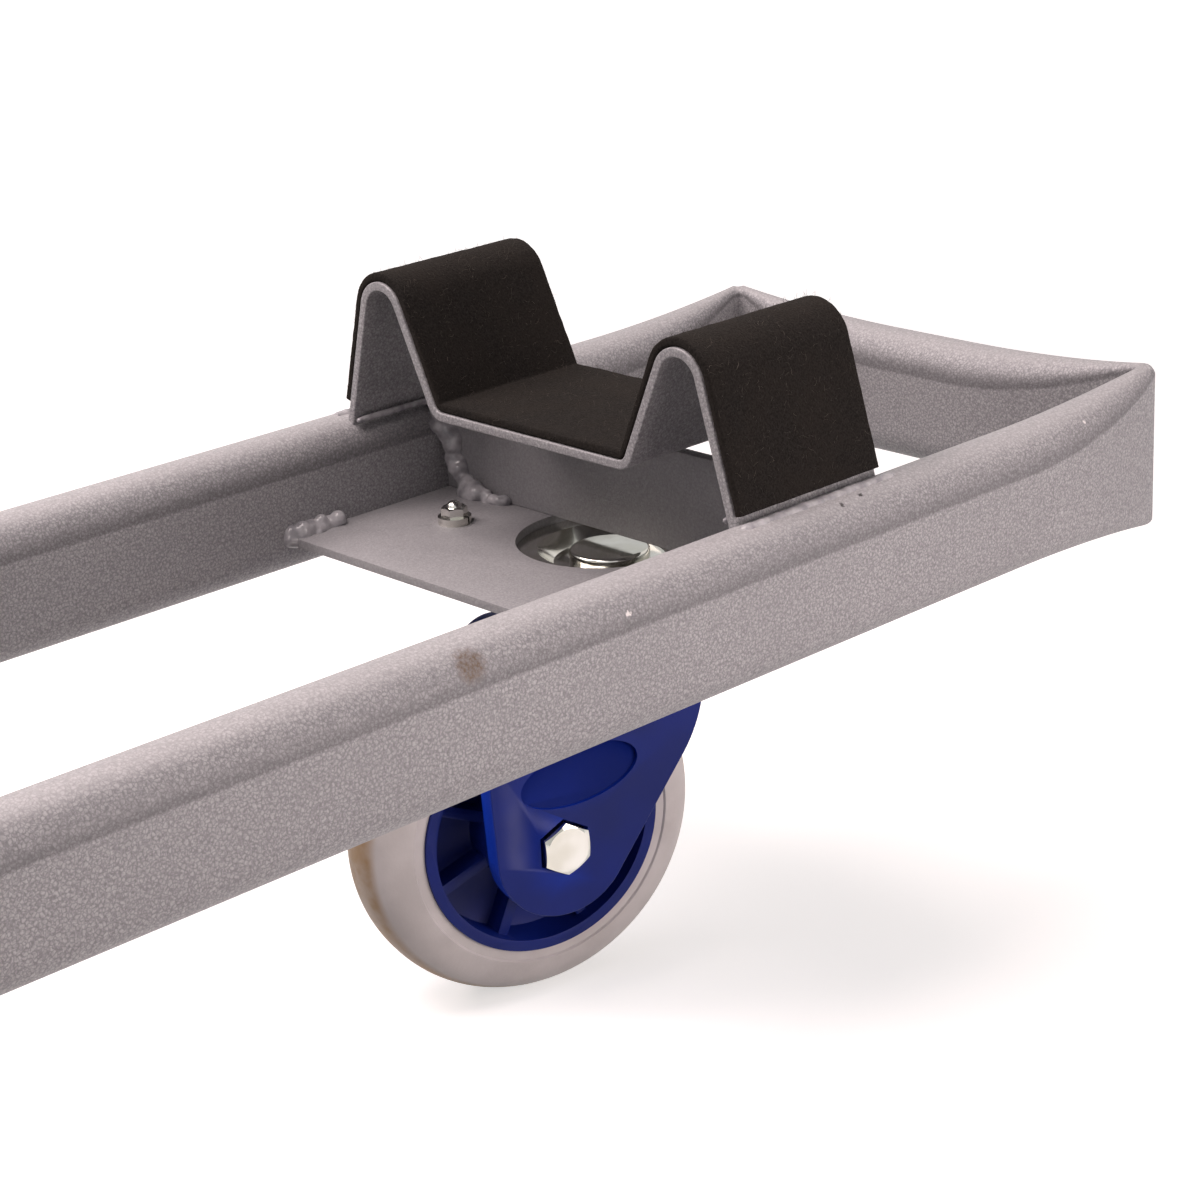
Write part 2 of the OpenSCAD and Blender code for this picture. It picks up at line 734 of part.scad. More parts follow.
mirror([0, 1, 0]) rail();  // rail_near
rail();  // rail_far
end_tube();  // end_tube_front
mirror([1, 0, 0]) end_tube();  // end_tube_rear
at_front() caster_plate();  // caster_plate_front
at_rear() caster_plate();  // caster_plate_rear
at_front() cross_bar();  // cross_bar_front
at_rear() cross_bar();  // cross_bar_rear
at_front() at_saddle() saddle();  // saddle_front
at_rear() at_saddle() saddle();  // saddle_rear
at_front() at_saddle() felt();  // felt_front
at_rear() at_saddle() felt();  // felt_rear
at_all_bolts() mount_bolt();  // mount_bolts
at_all_bolts() spring_washer();  // spring_washers
at_all_bolts() cap_nut();  // cap_nuts
mirror([0, 1, 0]) axle_bracket();  // axle_bracket_near
axle_bracket();  // axle_bracket_far
mid_axle();
axle_tube();
axle_washers();
axle_nuts();
mirror([0, 1, 0]) at_mid_wheel() hub();  // hub_near
mirror([0, 1, 0]) at_mid_wheel() tyre();  // tyre_near
mirror([0, 1, 0]) at_mid_wheel() bearings();  // bearings_near
at_mid_wheel() hub();  // hub_far
at_mid_wheel() tyre();  // tyre_far
at_mid_wheel() bearings();  // bearings_far
at_front() top_plate();  // top_plate_front
front_caster() kingpin();  // kingpin_front
front_caster() kingpin_nut();  // kingpin_nut_front
front_caster() race_balls();  // race_balls_front
front_caster() fork();  // fork_front
front_caster() kingpin_bush();  // kingpin_bush_front
front_caster() wheel_bolt();  // wheel_bolt_front
front_caster() wheel_nut();  // wheel_nut_front
front_caster() wheel_sleeve();  // wheel_sleeve_front
front_caster() at_caster_wheel() hub();  // hub_front
front_caster() at_caster_wheel() tyre();  // tyre_front
front_caster() at_caster_wheel() bearings();  // bearings_front
at_rear() top_plate();  // top_plate_rear
rear_caster() kingpin();  // kingpin_rear
rear_caster() kingpin_nut();  // kingpin_nut_rear
rear_caster() race_balls();  // race_balls_rear
rear_caster() fork();  // fork_rear
rear_caster() kingpin_bush();  // kingpin_bush_rear
rear_caster() wheel_bolt();  // wheel_bolt_rear
rear_caster() wheel_nut();  // wheel_nut_rear
rear_caster() wheel_sleeve();  // wheel_sleeve_rear
rear_caster() at_caster_wheel() hub();  // hub_rear
rear_caster() at_caster_wheel() tyre();  // tyre_rear
rear_caster() at_caster_wheel() bearings();  // bearings_rear
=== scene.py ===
import json
import math
import random

import bmesh
import bpy
from mathutils import Matrix, Vector, noise

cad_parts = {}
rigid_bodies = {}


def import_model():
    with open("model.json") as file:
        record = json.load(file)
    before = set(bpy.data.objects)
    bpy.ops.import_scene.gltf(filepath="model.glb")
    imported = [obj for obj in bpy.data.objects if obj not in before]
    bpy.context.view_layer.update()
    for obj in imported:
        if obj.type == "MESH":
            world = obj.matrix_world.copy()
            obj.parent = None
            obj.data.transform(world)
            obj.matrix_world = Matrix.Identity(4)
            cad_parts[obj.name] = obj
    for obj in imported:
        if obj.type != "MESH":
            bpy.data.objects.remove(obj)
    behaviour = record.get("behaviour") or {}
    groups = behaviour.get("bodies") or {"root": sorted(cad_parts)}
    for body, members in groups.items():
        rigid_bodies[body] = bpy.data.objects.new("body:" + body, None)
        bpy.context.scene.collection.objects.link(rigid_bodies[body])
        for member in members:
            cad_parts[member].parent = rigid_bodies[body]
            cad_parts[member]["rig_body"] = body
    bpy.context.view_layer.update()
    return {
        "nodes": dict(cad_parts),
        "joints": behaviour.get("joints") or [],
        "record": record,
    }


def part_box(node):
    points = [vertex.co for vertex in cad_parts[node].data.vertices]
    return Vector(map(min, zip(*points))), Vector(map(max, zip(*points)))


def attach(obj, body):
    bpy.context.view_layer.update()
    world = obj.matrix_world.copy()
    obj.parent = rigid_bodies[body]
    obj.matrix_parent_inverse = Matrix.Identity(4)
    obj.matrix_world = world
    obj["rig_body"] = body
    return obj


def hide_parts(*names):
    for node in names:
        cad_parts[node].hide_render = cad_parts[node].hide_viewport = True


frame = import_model()
nodes = frame["nodes"]

# The frame is one length of flat-sided oval steel tube, bent to a closed loop. Each corner is
# crushed flat as it is folded, so there the tube is thin and a little taller than elsewhere.
# It is sprayed with a silver hammertone paint, whose grain is one to two millimetres wide.
MM = 0.001
TUBE_W = 25 * MM
TUBE_H = 50 * MM
CRUSH_L = 84 * MM
CRUSH_HALF = 2.4 * MM
RAIL_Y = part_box("rail_far")[0].y + TUBE_W / 2
END_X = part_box("end_tube_front")[1].x - TUBE_W / 2
RAIL_MID = (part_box("rail_far")[0].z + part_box("rail_far")[1].z) / 2


def linear(code):
    """An sRGB hex value as linear red, green, blue and alpha."""
    parts = [int(code[i:i + 2], 16) / 255 for i in (1, 3, 5)]
    return [c / 12.92 if c < 0.04045 else ((c + 0.055) / 1.055) ** 2.4 for c in parts] + [1]


def add(tree, kind, inputs=None, **settings):
    """Adds a node. Its inputs are given by name or number, as values or as sockets to link."""
    made = tree.nodes.new(kind)
    for name, value in settings.items():
        setattr(made, name, value)
    for name, value in (inputs or {}).items():
        if isinstance(value, bpy.types.NodeSocket):
            tree.links.new(value, made.inputs[name])
        else:
            made.inputs[name].default_value = value
    return made


def new_material(name, **surface):
    """A material with one Principled shader, its plain values, and Object coordinates."""
    made = bpy.data.materials.new(name)
    made.use_nodes = True
    tree = made.node_tree
    tree.nodes.clear()
    shader = add(tree, "ShaderNodeBsdfPrincipled", {k.replace("_", " "): v for k, v in surface.items()})
    add(tree, "ShaderNodeOutputMaterial", {"Surface": shader.outputs[0]})
    return made, tree, shader, add(tree, "ShaderNodeTexCoord").outputs["Object"]


def mixed(tree, factor, a, b):
    """A mix of two colours, given as sockets or as linear values."""
    return add(tree, "ShaderNodeMix", {0: factor, 6: a, 7: b}, data_type="RGBA").outputs[2]


def ranged(tree, value, start, end, low=0.0, high=1.0):
    """A value eased from low to high as it goes from start to end."""
    return add(tree, "ShaderNodeMapRange", {
        "Value": value, "From Min": start, "From Max": end, "To Min": low, "To Max": high},
        interpolation_type="SMOOTHSTEP").outputs[0]


def grainy(tree, place, size, detail=2.0, low=0.0, high=1.0):
    """Noise with grains of a real size, spread over low to high."""
    cloud = add(tree, "ShaderNodeTexNoise", {"Vector": place, "Scale": 0.5 / size, "Detail": detail})
    return ranged(tree, cloud.outputs[0], 0.3, 0.7, low, high)


def cloudy(name, size, detail, dark, light, **surface):
    """A material that drifts between two tones, in clouds of a real size."""
    made, tree, shader, place = new_material(name, **surface)
    tone = mixed(tree, grainy(tree, place, size, detail), linear(dark), linear(light))
    tree.links.new(tone, shader.inputs["Base Color"])
    return made, tree, shader, place


def bumpy(tree, shader, height, depth, strength=1.0):
    """Raises a shader's surface by a depth in metres where height is one."""
    bump = add(tree, "ShaderNodeBump", {"Height": height, "Distance": depth, "Strength": strength})
    tree.links.new(bump.outputs[0], shader.inputs["Normal"])


def product(tree, a, b):
    """The product of two values, given as sockets or as numbers."""
    return add(tree, "ShaderNodeMath", {0: a, 1: b}, operation="MULTIPLY").outputs[0]


def spot(tree, place, centre, radius, wobble):
    """One at a place on the object and none past a radius round it, with a ragged rim."""
    away = add(tree, "ShaderNodeVectorMath", {0: place, 1: centre}, operation="DISTANCE").outputs["Value"]
    rim = grainy(tree, place, wobble, 3, -wobble, wobble)
    ragged = add(tree, "ShaderNodeMath", {0: away, 1: rim}, operation="ADD").outputs[0]
    return ranged(tree, ragged, radius, 0.35 * radius)


def hammertone_paint(name, grain):
    """Silver enamel that dries in small cells: a warm grey, darker between the cells. Grain is how much of
    that shows, from 0 to 1. Where the tube's round meets its flat, a dark line of painted shade is laid on,
    and the rounds that face up are lightened by a painted highlight."""
    made, tree, shader, place = new_material(name, Metallic=0.12)
    cell, wander, rim_share = 1.3 * MM, 1.2 * MM, 0.22
    stir = add(tree, "ShaderNodeTexNoise", {"Vector": place, "Scale": 900, "Detail": 2}).outputs["Color"]
    shift = add(tree, "ShaderNodeVectorMath", {0: stir, 1: (wander,) * 3}, operation="MULTIPLY").outputs[0]
    bent = add(tree, "ShaderNodeVectorMath", {0: place, 1: shift}, operation="ADD").outputs[0]
    rims = add(tree, "ShaderNodeTexVoronoi", {"Vector": bent, "Scale": 1 / cell}, feature="DISTANCE_TO_EDGE")
    cells = ranged(tree, rims.outputs[0], 0.0, rim_share)
    between = linear("#67676B")
    tone = mixed(tree, grainy(tree, place, 0.5 * MM, 3, 0.5 - grain / 2, 0.5 + grain / 2),
                 linear("#98979A"), linear("#BAB9BC"))
    tone = mixed(tree, cells, mixed(tree, 0.5 * grain, tone, between), tone)
    tone = mixed(tree, 0.32 * (1 - grain), tone, between)
    tone = mixed(tree, grainy(tree, place, 30 * MM, 2, 0, 0.16), tone, linear("#868589"))
    # The tube: a dark line of painted shade where the round meets the flat, and a painted highlight on the
    # rounds that face up.
    painted_shade_line = add(tree, "ShaderNodeAttribute", attribute_name="painted_shade_line").outputs["Fac"]
    tone = mixed(tree, ranged(tree, painted_shade_line, 0.75, 1.0, 0, 0.5), tone, linear("#4E4D50"))
    normal = add(tree, "ShaderNodeTexCoord").outputs["Normal"]
    up = add(tree, "ShaderNodeSeparateXYZ", {0: normal}).outputs["Z"]
    # Painted highlight: the rounds that face up are painted paler, as if lit from above.
    high = product(tree, ranged(tree, up, 0.6, 1.0, 0, 0.3), ranged(tree, painted_shade_line, 0.3, 0.4))
    tone = mixed(tree, high, tone, linear("#D8D6D8"))
    # The near rail: one mark of burnt paint, two pits by the saddle's foot and three bright specks.
    burnt = product(tree, spot(tree, place, (0.2526, -0.1129, 0.1901), 7 * MM, 0.7 * MM),
                    grainy(tree, place, 0.5 * MM, 3, 0.35, 1.0))
    tone = mixed(tree, burnt, tone, linear("#6B5A4C"))
    for at in ((0.4254, -0.1074, 0.1947), (0.4154, -0.1085, 0.1942)):
        tone = mixed(tree, spot(tree, place, at, 1.1 * MM, 0.4 * MM), tone, linear("#4C494A"))
    for at in ((0.3137, -0.1141, 0.1876), (0.5393, -0.1111, 0.1923), (0.5510, -0.1130, 0.1898)):
        tone = mixed(tree, spot(tree, place, at, 0.9 * MM, 0.9 * MM), tone, linear("#E4E0E0"))
    tree.links.new(tone, shader.inputs["Base Color"])
    shader.inputs["Specular IOR Level"].default_value = 0.3
    tree.links.new(grainy(tree, place, 0.8 * MM, 2, 0.46, 0.6), shader.inputs["Roughness"])
    bumpy(tree, shader, cells, 0.06 * MM, 0.45)
    return made


def new_piece(name, points, faces, material, body, crease, stands_for=()):
    """A mesh piece with outward faces that rides on a body. It is smooth but for creases sharper than an
    angle in degrees, and it may stand for CAD nodes."""
    mesh = bpy.data.meshes.new(name)
    mesh.from_pydata([tuple(p) for p in points], [], faces)
    work = bmesh.new()
    work.from_mesh(mesh)
    bmesh.ops.remove_doubles(work, verts=work.verts, dist=1e-6)
    bmesh.ops.recalc_face_normals(work, faces=work.faces)
    work.to_mesh(mesh)
    work.free()
    mesh.shade_smooth()
    mesh.set_sharp_from_angle(angle=math.radians(crease))
    made = bpy.data.objects.new(name, mesh)
    bpy.context.scene.collection.objects.link(made)
    mesh.materials.append(material)
    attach(made, body)
    if stands_for:
        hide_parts(*stands_for)
    return made


def loft(rings, closed=False):
    """Quads between rings of as many points each. A closed loft joins its last ring to its first."""
    n = len(rings[0])
    points = [p for ring in rings for p in ring]
    pairs = range(len(rings) if closed else len(rings) - 1)
    return points, [
        (j * n + k, j * n + (k + 1) % n, (j + 1) % len(rings) * n + (k + 1) % n, (j + 1) % len(rings) * n + k)
        for j in pairs for k in range(n)]


def tube_ring(length, t, way):
    """The tube's section at a share t of the crushed stretch from a corner, as X, Y and Z. The tube runs
    along X with its middle at zero, and way says towards which end of its length the corner is."""
    arc_steps = 20
    soft = t * (2 - t)
    half = CRUSH_HALF + (TUBE_W / 2 - CRUSH_HALF) * soft
    flat = (TUBE_H - TUBE_W + math.pi * (TUBE_W / 2 - half)) / 2
    ring = []
    for side in (1, -1):
        for k in range(arc_steps + 1):
            a = math.pi * k / arc_steps
            y = side * half * math.cos(a)
            x = way * (length / 2 - CRUSH_L * t + (1 - soft) * y)
            ring.append(Vector((x, y, side * (flat + half * math.sin(a)))))
    return ring


def tube_loop():
    """The whole loop as one closed loft, with a rounded fold at each corner. It carries an attribute that is
    one where the round meets the flat and falls off over the round and over the flat; the paint lays its
    painted shade line and painted highlight by it."""
    ring_steps = 16
    fold = 3 * MM
    fold_in, fold_lower = 0.88 * MM, 0.03
    round_reach, flat_reach = 40 * MM, 6 * MM
    starts = [fold / CRUSH_L + (1 - fold / CRUSH_L) * j / ring_steps for j in range(ring_steps + 1)]
    rings = []
    for turn in range(4):
        length, out = (2 * END_X, RAIL_Y) if turn % 2 else (2 * RAIL_Y, END_X)
        stand = Matrix.Rotation(math.pi / 2 * (turn - 1), 3, "Z")
        for way, shares in ((1, starts), (-1, starts[::-1])):
            for t in shares:
                ring = tube_ring(length, t, way)
                rings.append([stand @ (p + Vector((0, out, 0))) + Vector((0, 0, RAIL_MID)) for p in ring])
        corner = [stand @ (p + Vector((0, out, 0))) for p in tube_ring(length, 0, -1)]
        inward = -fold_in * Vector((math.copysign(1, corner[0].x), math.copysign(1, corner[0].y), 0))
        rings.append([p + inward + Vector((0, 0, RAIL_MID - fold_lower * p.z)) for p in corner])
    points, faces = loft(rings, closed=True)
    made = new_piece("tube_loop", points, faces, paint, "frame", crease=75,
                     stands_for=("rail_near", "rail_far", "end_tube_front", "end_tube_rear"))
    ring_points = len(rings[0])
    last = ring_points // 2 - 1
    # Where the paint's painted shade line falls: one where the round meets the flat.
    painted_shade_line = []
    for i in range(len(made.data.vertices)):
        k = i % ring_points
        rise = math.pi * min(k, last - k) / last
        flat = abs(made.data.vertices[i - k].co.z - RAIL_MID)
        painted_shade_line.append(1 - (TUBE_W / 2 * rise / round_reach if k <= last else 2 * flat / flat_reach))
    made.data.attributes.new("painted_shade_line", "FLOAT", "POINT").data.foreach_set("value", painted_shade_line)


paint = hammertone_paint("hammertone_paint", 1.0)
plate_paint = hammertone_paint("plate_paint", 0.45)
tube_loop()

# The plates, cross bars and axle brackets are cut from sheet and flat bar, and painted with the frame.
# Their edges are eased as a file and the paint leave them.


def eased(name, width, material, wide=None, wide_by=0.0, shape=None):
    """A merged copy of a CAD node with its hard edges rounded, in the node's place. The edges that wide
    picks are rounded by wide_by first. Before that, shape may move its points."""
    hard_from, flat_to = math.radians(30), math.radians(0.5)
    merge, merge_wide = 2e-6, 4e-5
    source = nodes[name]
    mesh = source.data.copy()
    mesh.name = name + "_eased"
    work = bmesh.new()
    work.from_mesh(mesh)
    for v in work.verts if shape else ():
        v.co = shape(v.co)
    bmesh.ops.remove_doubles(work, verts=work.verts, dist=merge_wide if wide else merge)
    bmesh.ops.dissolve_limit(work, verts=work.verts, edges=work.edges, angle_limit=flat_to)
    hard = [e for e in work.edges if len(e.link_faces) == 2 and e.calc_face_angle(0) > hard_from]
    rounding = {"profile": 0.5, "affect": "EDGES", "clamp_overlap": True}
    if wide:
        picked = [e for e in hard if wide(e)]
        hard = [e for e in hard if not wide(e)]
        bmesh.ops.bevel(work, geom=picked, offset=wide_by, segments=5, **rounding)
        hard = [e for e in hard if e.is_valid]
    bmesh.ops.bevel(work, geom=hard, offset=width, segments=2, **rounding)
    work.to_mesh(mesh)
    work.free()
    mesh.shade_smooth()
    mesh.set_sharp_from_angle(angle=hard_from)
    made = bpy.data.objects.new(name + "_eased", mesh)
    bpy.context.scene.collection.objects.link(made)
    mesh.materials.clear()
    mesh.materials.append(material)
    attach(made, source["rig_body"])
    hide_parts(name)
    return made


for place in ("front", "rear"):
    eased("caster_plate_" + place, 0.4 * MM, plate_paint)
    eased("cross_bar_" + place, 0.5 * MM, plate_paint)
for place in ("near", "far"):
    eased("axle_bracket_" + place, 0.5 * MM, plate_paint)
nodes["axle_tube"].data.materials[0] = paint

# Each saddle is one strip of 3.2 mm steel bent to a W with two ridges, welded to both rails by its
# feet, and painted. The sheared edges of the strip are eased.
SADDLE_T = 3.2 * MM
RIDGE_Y, RIDGE_H, RIDGE_R = 76 * MM, 69.8 * MM, 9.6 * MM
FLOOR_HALF, FLOOR_H, FLOOR_R = 48 * MM, 9.1 * MM, 5.8 * MM
FOOT_IN = 6.9 * MM
RAIL_TOP = RAIL_MID + TUBE_H / 2
PEAK_Z = RAIL_TOP + RIDGE_H


def foot_point(z):
    """The point of the far leg's slope at a height, in Y and Z."""
    return Vector((RIDGE_Y + (PEAK_Z - z) * (RAIL_Y - FOOT_IN - RIDGE_Y) / RIDGE_H, z))


def saddle_line(near_z, far_z, offset):
    """Points of the bent strip in Y and Z from the near foot to the far one, at an offset to its left,
    each with the direction to the left there."""
    degrees_a_step = 3
    half = [(Vector((RIDGE_Y, PEAK_Z)), RIDGE_R), (Vector((FLOOR_HALF, RAIL_TOP + FLOOR_H)), FLOOR_R)]
    near, far = foot_point(near_z), foot_point(far_z)
    corners = [(Vector((-near.x, near.y)), 0)] + [(Vector((-p.x, p.y)), r) for p, r in half]
    corners += [(p, r) for p, r in reversed(half)] + [(far, 0)]
    line = []
    for i, (p, r) in enumerate(corners):
        back = (p - corners[i - 1][0]).normalized() if i else (corners[1][0] - p).normalized()
        ahead = (corners[i + 1][0] - p).normalized() if i + 1 < len(corners) else back
        turn = math.atan2(back.cross(ahead), back.dot(ahead))
        left = Vector((-back.y, back.x))
        if not r:
            line.append((p + offset * left, left))
            continue
        way = math.copysign(1, turn)
        middle = p - back * r * math.tan(abs(turn) / 2) + left * r * way
        steps = max(2, round(math.degrees(abs(turn)) / degrees_a_step))
        for k in range(steps + 1):
            out = Matrix.Rotation(turn * k / steps, 2) @ left
            line.append((middle + out * (offset - r * way), out))
    return line


def strip_piece(name, x, length, low, high, edge, near_z, far_z, material, body, stands_for, rough=0.0):
    """A bent strip from offset low to high along the saddle's line, its edges rounded by edge. Rough is how
    far its points stray. The attribute outside is one on its left half, which is its outer side."""
    corner_steps, across = 4, 14
    station, coarse, fine, fine_share = 3 * MM, 4 * MM, 1.3 * MM, 0.6
    section = []
    for sx, sy, start in ((1, 1, 0), (-1, 1, 90), (-1, -1, 180), (1, -1, 270)):
        for k in range(corner_steps + 1):
            a = math.radians(start + 90 * k / corner_steps)
            section.append((sx * (length / 2 - edge) + edge * math.cos(a),
                            (high - edge if sy > 0 else low + edge) + edge * math.sin(a)))
    dense = []
    for i, p in enumerate(section):
        dense.append(p)
        q = section[(i + 1) % len(section)]
        if abs(p[0] - q[0]) > length / 2:
            dense += [(p[0] + (q[0] - p[0]) * k / across, p[1]) for k in range(1, across)]
    middle = saddle_line(near_z, far_z, 0)
    stations = []
    for (p, out), (q, out2) in zip(middle, middle[1:]):
        n = max(1, round((q - p).length / station))
        stations += [(p.lerp(q, k / n), out.lerp(out2, k / n).normalized()) for k in range(n)]
    stations.append(middle[-1])
    rings, shares = [], []
    for p, out in stations:
        ring = []
        for dx, off in dense:
            shares.append(1.0 if off > (low + high) / 2 else 0.0)
            y, z = p + out * off
            v = Vector((x + dx, y, z))
            if rough:
                v += rough * (noise.noise_vector(v / coarse) + fine_share * noise.noise_vector(v / fine))
            ring.append(v)
        rings.append(ring)
    points, faces = loft(rings)
    n = len(dense)
    faces += [tuple(range(n)), tuple(range(len(points) - n, len(points)))]
    made = new_piece(name, points, faces, material, body, crease=50, stands_for=stands_for)
    made.data.attributes.new("outside", "FLOAT", "POINT").data.foreach_set("value", shares)
    return made


SADDLE_X = {}
for place in ("front", "rear"):
    low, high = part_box("saddle_" + place)
    SADDLE_X[place] = (low.x + high.x) / 2
    strip_piece("saddle_strip_" + place, SADDLE_X[place], high.x - low.x, -SADDLE_T / 2, SADDLE_T / 2,
                0.5 * MM, low.z, low.z, paint, "frame", ("saddle_" + place,))

# Everything on the frame is joined by weld beads laid by hand, lumpy and painted over: along the ends
# of the plates and bars, at the feet of the saddles and along the axle brackets.


def painted_weld():
    """The same enamel where it has run together over a weld: even and glossy."""
    return cloudy("painted_weld", 2.5 * MM, 3, "#89888D", "#BDBCC0", Roughness=0.12)[0]


def drops(path, radius, lumpy, hand):
    """Drops of weld metal along a path in millimetres, laid by an unsteady hand: places and radii in metres.
    Lumpy says how far the drops differ in size and stray from the path, from 0 to 1."""
    apart, least, most, stray = 0.7, 0.05, 0.45, 0.26
    laid = []
    for p, q in zip(path, path[1:]):
        p, q = Vector(p), Vector(q)
        n = max(1, round((q - p).length / apart))
        for k in range(n + 1):
            size = radius * (1 - lumpy * hand.uniform(least, most))
            sway = Vector([lumpy * hand.gauss(0, stray * radius) for axis in range(3)])
            laid.append(((p.lerp(q, k / n) + sway) * MM, size * MM))
    return laid


def bead_paths():
    """Each bead of the frame as its path in millimetres, its radius there and how lumpy it is."""
    def span(name):
        return [c.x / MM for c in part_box(name)]

    (plate_0, plate_1), (bar_0, bar_1), (saddle_0, saddle_1) = map(
        span, ("caster_plate_front", "cross_bar_front", "saddle_front"))
    floor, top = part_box("caster_plate_front")[1].z / MM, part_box("cross_bar_front")[1].z / MM
    wall, foot, rail_top = 90, 98.6, RAIL_TOP / MM
    laid = []
    for way in (1, -1):
        outer, inner = way * (foot + 4.2), way * (foot - 6.4)
        laid += [
            # the plate's two edges on the rail
            ([(plate_0 - 1.5, way * (wall + 0.5), floor - 2.5), (plate_0 + 1, way * (wall - 1), floor + 0.8),
              (plate_0 + 9, way * (wall - 1.5), floor + 0.6), (plate_0 + 21, way * wall, floor)], 3.7, 1),
            ([(plate_1 - 24, way * wall, floor), (plate_1 + 1, way * (wall - 0.5), floor)], 2.6, 0.6),
            # the bar's end on the rail, down to the plate on one face and short of it on the other
            ([(bar_0 - 1, way * (wall - 1), top - 4), (bar_0 - 1.5, way * (wall - 2.5), top - 14)], 5.4, 0.6),
            ([(bar_0 - 0.5, way * (wall - 4), top - 15), (bar_0 - 0.5, way * (wall - 9), floor + 8),
              (bar_0 - 1.5, way * (wall - 13), floor + 2)], 4.2, 1),
            ([(bar_1 + 0.5, way * (wall - 0.5), top - 4), (bar_1 + 0.5, way * (wall - 0.5), floor + 6)],
             2.8, 0.8),
            # the saddle's foot on the rail, outside and inside
            ([(saddle_0 - 0.5, outer, rail_top - 1.4), (saddle_1 + 0.5, outer, rail_top - 1.4)], 2.6, 0.2),
            ([(saddle_0 + 1, inner, rail_top - 0.6), (saddle_1 - 1, inner, rail_top - 0.6)], 1.4, 0.25)]
    # the bar's foot on the plate
    laid += [([(bar_0 - 1.5, 77, floor + 1), (bar_0 - 3.5, 69, floor + 1.5)], 4.6, 0.5),
             ([(bar_0 - 1.5, 69, floor + 0.6), (bar_0 - 1, 57, floor + 0.4)], 3.2, 1),
             ([(bar_0 - 1.5, -77, floor + 1), (bar_0 - 1, -56, floor + 1)], 3.2, 1)]
    laid += [([(-x, y, z) for x, y, z in path], r, lumpy) for path, r, lumpy in laid]
    # the axle brackets under the rails
    under, half_bracket = (RAIL_MID - TUBE_H / 2) / MM, 3.4
    for way in (1, -1):
        for x0, x1 in ((-56, -14), (14, 56)):
            for side in (-half_bracket, half_bracket):
                y = way * (RAIL_Y / MM + side)
                laid.append(([(x0, y, under), (x1, y, under)], 1.8, 0.3))
    return laid


def weld_beads():
    """All beads as one piece: drops run together by a voxel remesh and smoothed as paint does."""
    voxel, smoothing = 0.6 * MM, 9
    hand = random.Random(5)
    ball = bmesh.new()
    bmesh.ops.create_icosphere(ball, subdivisions=2, radius=1)
    sphere, quads = [v.co.copy() for v in ball.verts], [[v.index for v in f.verts] for f in ball.faces]
    ball.free()
    points, faces = [], []
    for path, radius, lumpy in bead_paths():
        for middle, size in drops(path, radius, lumpy, hand):
            faces += [tuple(i + len(points) for i in quad) for quad in quads]
            points += [middle + size * p for p in sphere]
    mesh = bpy.data.meshes.new("drops")
    mesh.from_pydata(points, [], faces)
    laid_drops = bpy.data.objects.new("drops", mesh)
    bpy.context.scene.collection.objects.link(laid_drops)
    run = laid_drops.modifiers.new("run", "REMESH")
    run.mode = "VOXEL"
    run.voxel_size = voxel
    laid_drops.modifiers.new("wet", "SMOOTH").iterations = smoothing
    run_together = laid_drops.evaluated_get(bpy.context.evaluated_depsgraph_get()).to_mesh()
    points = [v.co.copy() for v in run_together.vertices]
    faces = [tuple(f.vertices) for f in run_together.polygons]
    bpy.data.objects.remove(laid_drops)
    new_piece("weld_beads", points, faces, painted_weld(), "frame", crease=180)


weld_beads()

# The lining is one strip of black needle felt 3 mm thick, glued over the whole outside of the saddle.
# Its cut edges are fibrous, and loose fibres and lint lie on it. Blender seeds its vector noise by the
# clock, so the felt's unevenness is given a seed of its own, to come out the same each time.
FELT_T = 3 * MM
GLUE = 0.2 * MM
UNEVEN_SEED = 7


def needle_felt():
    """Needle felt: matted black-brown fibres that take the light softly and never shine."""
    made, tree, shader, place = new_material(
        "needle_felt", Roughness=1.0, Sheen_Weight=0.12, Sheen_Roughness=0.7)
    shader.inputs["Specular IOR Level"].default_value = 0.1
    shader.inputs["Sheen Tint"].default_value = linear("#8E857C")
    fibre = grainy(tree, place, 0.35 * MM, 5)
    tone = mixed(tree, fibre, linear("#100F0F"), linear("#252322"))
    tone = mixed(tree, grainy(tree, place, 9 * MM, 4, 0, 0.4), tone, linear("#24201D"))
    tree.links.new(tone, shader.inputs["Base Color"])
    bumpy(tree, shader, fibre, 0.25 * MM, 0.6)
    return made


def loose_fibre():
    """Loose wool fibre: from nearly black to a dull brown."""
    return cloudy("loose_fibre", 3 * MM, 2, "#1C1A18", "#575049", Roughness=0.9)[0]


